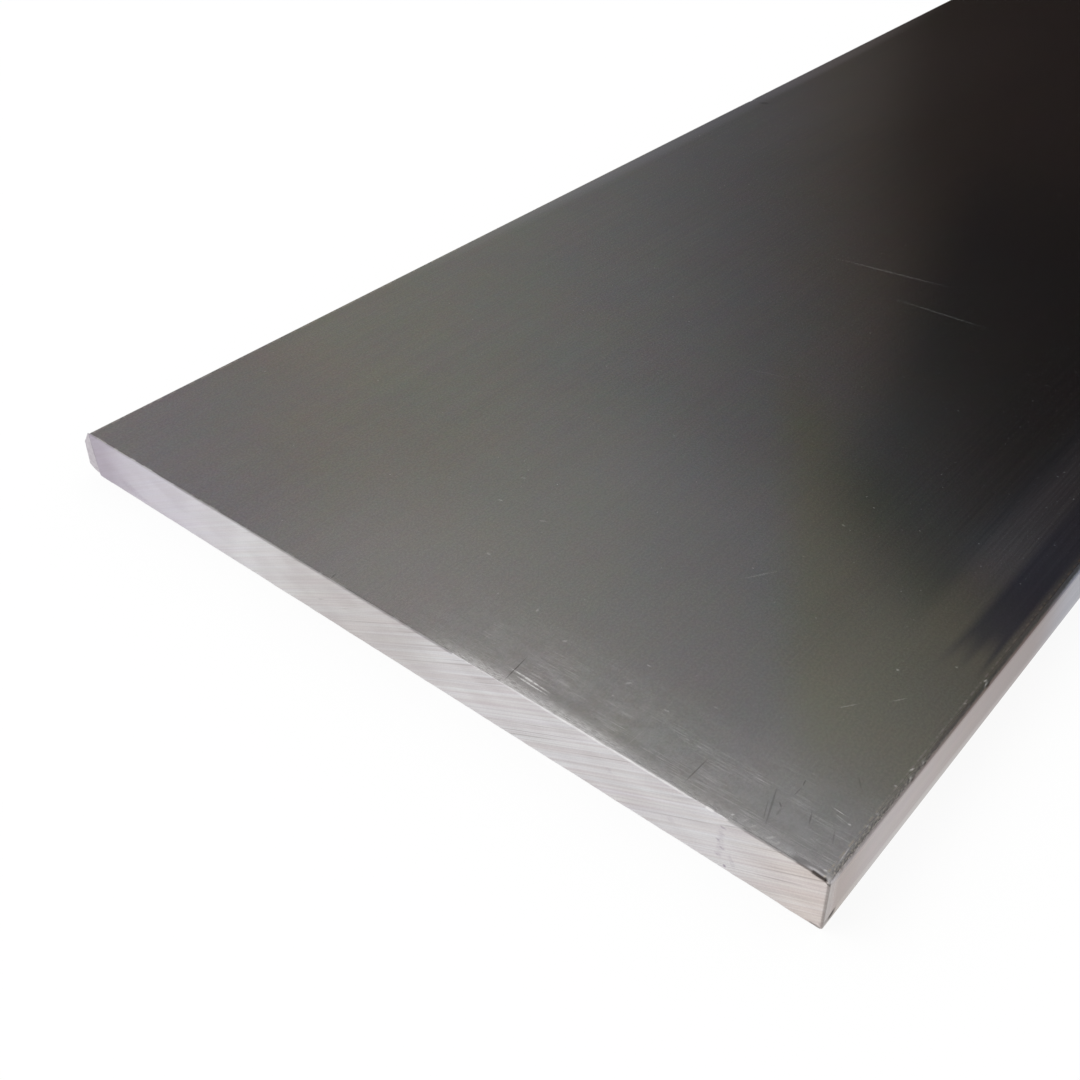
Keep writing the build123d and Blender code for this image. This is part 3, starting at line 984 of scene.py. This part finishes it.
class FLATBAR_OT_studio(bpy.types.Operator):
    """Build the pale floor, the tent, the lamp and the camera"""

    bl_idname = "flat_bar.studio"
    bl_label = "Studio"

    def execute(self, context):
        self.floor()
        self.card()
        self.world(context.scene)
        self.lamp()
        self.camera(context.scene)
        context.scene.view_settings.view_transform = "Standard"
        return {"FINISHED"}

    def floor(self):
        """A pale matt sheet just below the bar. Most of its tone is its own, and the rest is lit, so that
        the bar's shadow stays on it."""
        side = FLOOR_SIDE / 2 / MM
        corners = [(x * side, y * side, -FLOOR_GAP) for x, y in ((-1, -1), (1, -1), (1, 1), (-1, 1))]
        sheet = closed_mesh("floor", np.array(corners), [[0, 1, 2, 3]])
        material, node = new_material("white_paper")
        lit = node("BsdfDiffuse", {"Color": WHITE})
        glow = node("Emission", {"Color": WHITE, "Strength": 1.0})
        share = node("Math", [background_rays(node), FLOOR_GLOW], operation="MULTIPLY")
        node("OutputMaterial", [node("MixShader", [share, lit, glow])])
        sheet.data.materials.append(material)

    def card(self):
        """The dark cloth and tent wall behind the bar, seen only by glossy rays."""
        points, faces = card_arrays()
        card = closed_mesh("studio_card", points / MM, faces.tolist())
        card.data.materials.append(card_material())
        for rays in ("camera", "diffuse", "shadow", "transmission", "volume_scatter"):
            setattr(card, "visible_" + rays, False)

    def world(self, scene):
        """White at strength 1 to the camera and in the metal, and a plain level of light on things."""
        scene.world = bpy.data.worlds.new("white_tent")
        scene.world.use_nodes = True
        scene.world.node_tree.nodes.clear()
        node = partial(add, scene.world.node_tree)
        level = node("MapRange", [background_rays(node), 0, 1, TENT_LIGHT, 1.0])
        node("OutputWorld", [node("Background", {"Color": WHITE, "Strength": level})])

    def lamp(self):
        """One large soft lamp, high on the left in front."""
        light = bpy.data.lights.new("key_lamp", "AREA")
        light.shape, light.size, light.energy = "SQUARE", LAMP_SIDE, LAMP_POWER
        lamp = bpy.data.objects.new("key_lamp", light)
        lamp.location = LAMP_PLACE
        lamp.rotation_euler = (-lamp.location).to_track_quat("-Z", "Y").to_euler()
        lamp.visible_glossy = False
        bpy.context.scene.collection.objects.link(lamp)

    def camera(self, scene):
        """Above and to the right of the near corner, looking across the bar to the left and down."""
        data = bpy.data.cameras.new("camera")
        data.lens, data.sensor_width = LENS, SENSOR
        data.clip_start, data.clip_end = 0.01, 100
        camera = bpy.data.objects.new("camera", data)
        camera.matrix_world = Matrix.Translation(CAMERA_PLACE)
        for degrees, axis in CAMERA_TURNS:
            camera.matrix_world = camera.matrix_world @ Matrix.Rotation(np.radians(degrees), 4, axis)
        scene.collection.objects.link(camera)
        scene.camera = camera


class FLATBAR_PT_tools(bpy.types.Panel):
    """Sizes, colours and build buttons of the flat bar"""

    bl_idname = "FLATBAR_PT_tools"
    bl_label = "Flat bar"
    bl_space_type = "VIEW_3D"
    bl_region_type = "UI"
    bl_category = "Flat bar"

    def draw(self, context):
        layout = self.layout
        for group in (context.scene.flat_bar_shape, context.scene.flat_bar_finish):
            for name in group.__annotations__:
                layout.prop(group, name)
        for operator in OPERATORS:
            layout.operator(operator.bl_idname)


OPERATORS = (FLATBAR_OT_skin, FLATBAR_OT_exit_burr, FLATBAR_OT_studio)
CLASSES = (BarShape, BarFinish, *OPERATORS, FLATBAR_PT_tools)


def register():
    for made in CLASSES:
        bpy.utils.register_class(made)
    bpy.types.Scene.flat_bar_shape = PointerProperty(type=BarShape)
    bpy.types.Scene.flat_bar_finish = PointerProperty(type=BarFinish)


def unregister():
    del bpy.types.Scene.flat_bar_finish
    del bpy.types.Scene.flat_bar_shape
    for made in reversed(CLASSES):
        bpy.utils.unregister_class(made)


def main():
    register()
    bpy.ops.flat_bar.skin()
    bpy.ops.flat_bar.exit_burr()
    bpy.ops.flat_bar.studio()


if __name__ == "__main__":
    main()
